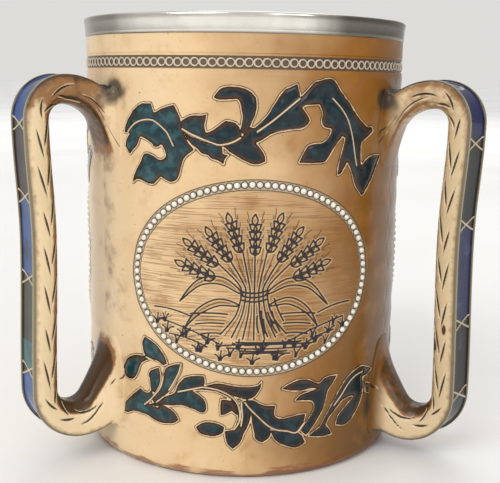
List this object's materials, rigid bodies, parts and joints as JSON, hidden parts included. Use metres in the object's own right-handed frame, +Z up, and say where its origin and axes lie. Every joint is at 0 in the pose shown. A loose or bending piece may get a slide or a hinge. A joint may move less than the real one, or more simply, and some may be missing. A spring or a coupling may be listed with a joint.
{
  "type": "loving cup",
  "caption": "Cylindrical salt-glazed stoneware drinking cup with strap handles round it, a silver rim and beaded oval panels.",
  "frame": {"origin": "on the cup's axis, in the plane that the foot stands on", "axes": "+Z up along the axis; -Y faces the panel between the left and the right handle, as in the picture; +X is to that viewer's right"},
  "size_m": [0.1664, 0.1535, 0.16],
  "materials": {
    "salt_glazed_stoneware": "buff to orange-brown stoneware under a glossy salt glaze",
    "glazed_handle": "orange-brown salt glaze, with blue, green and dark brown glaze on the outer face",
    "silver": "polished silver, lightly worn",
    "plaster": "matte plaster, hidden under the silver",
    "white_slip": "raised dots of white slip under clear salt glaze"
  },
  "bodies": {
    "root": {"body": "salt_glazed_stoneware", "handle_left": "glazed_handle", "handle_right": "glazed_handle", "handle_back": "glazed_handle", "silver_rim": "silver", "rim_cement": "plaster", "bead_oval_front": "white_slip", "bead_oval_right": "white_slip", "bead_oval_left": "white_slip"}
  },
  "joints": []
}
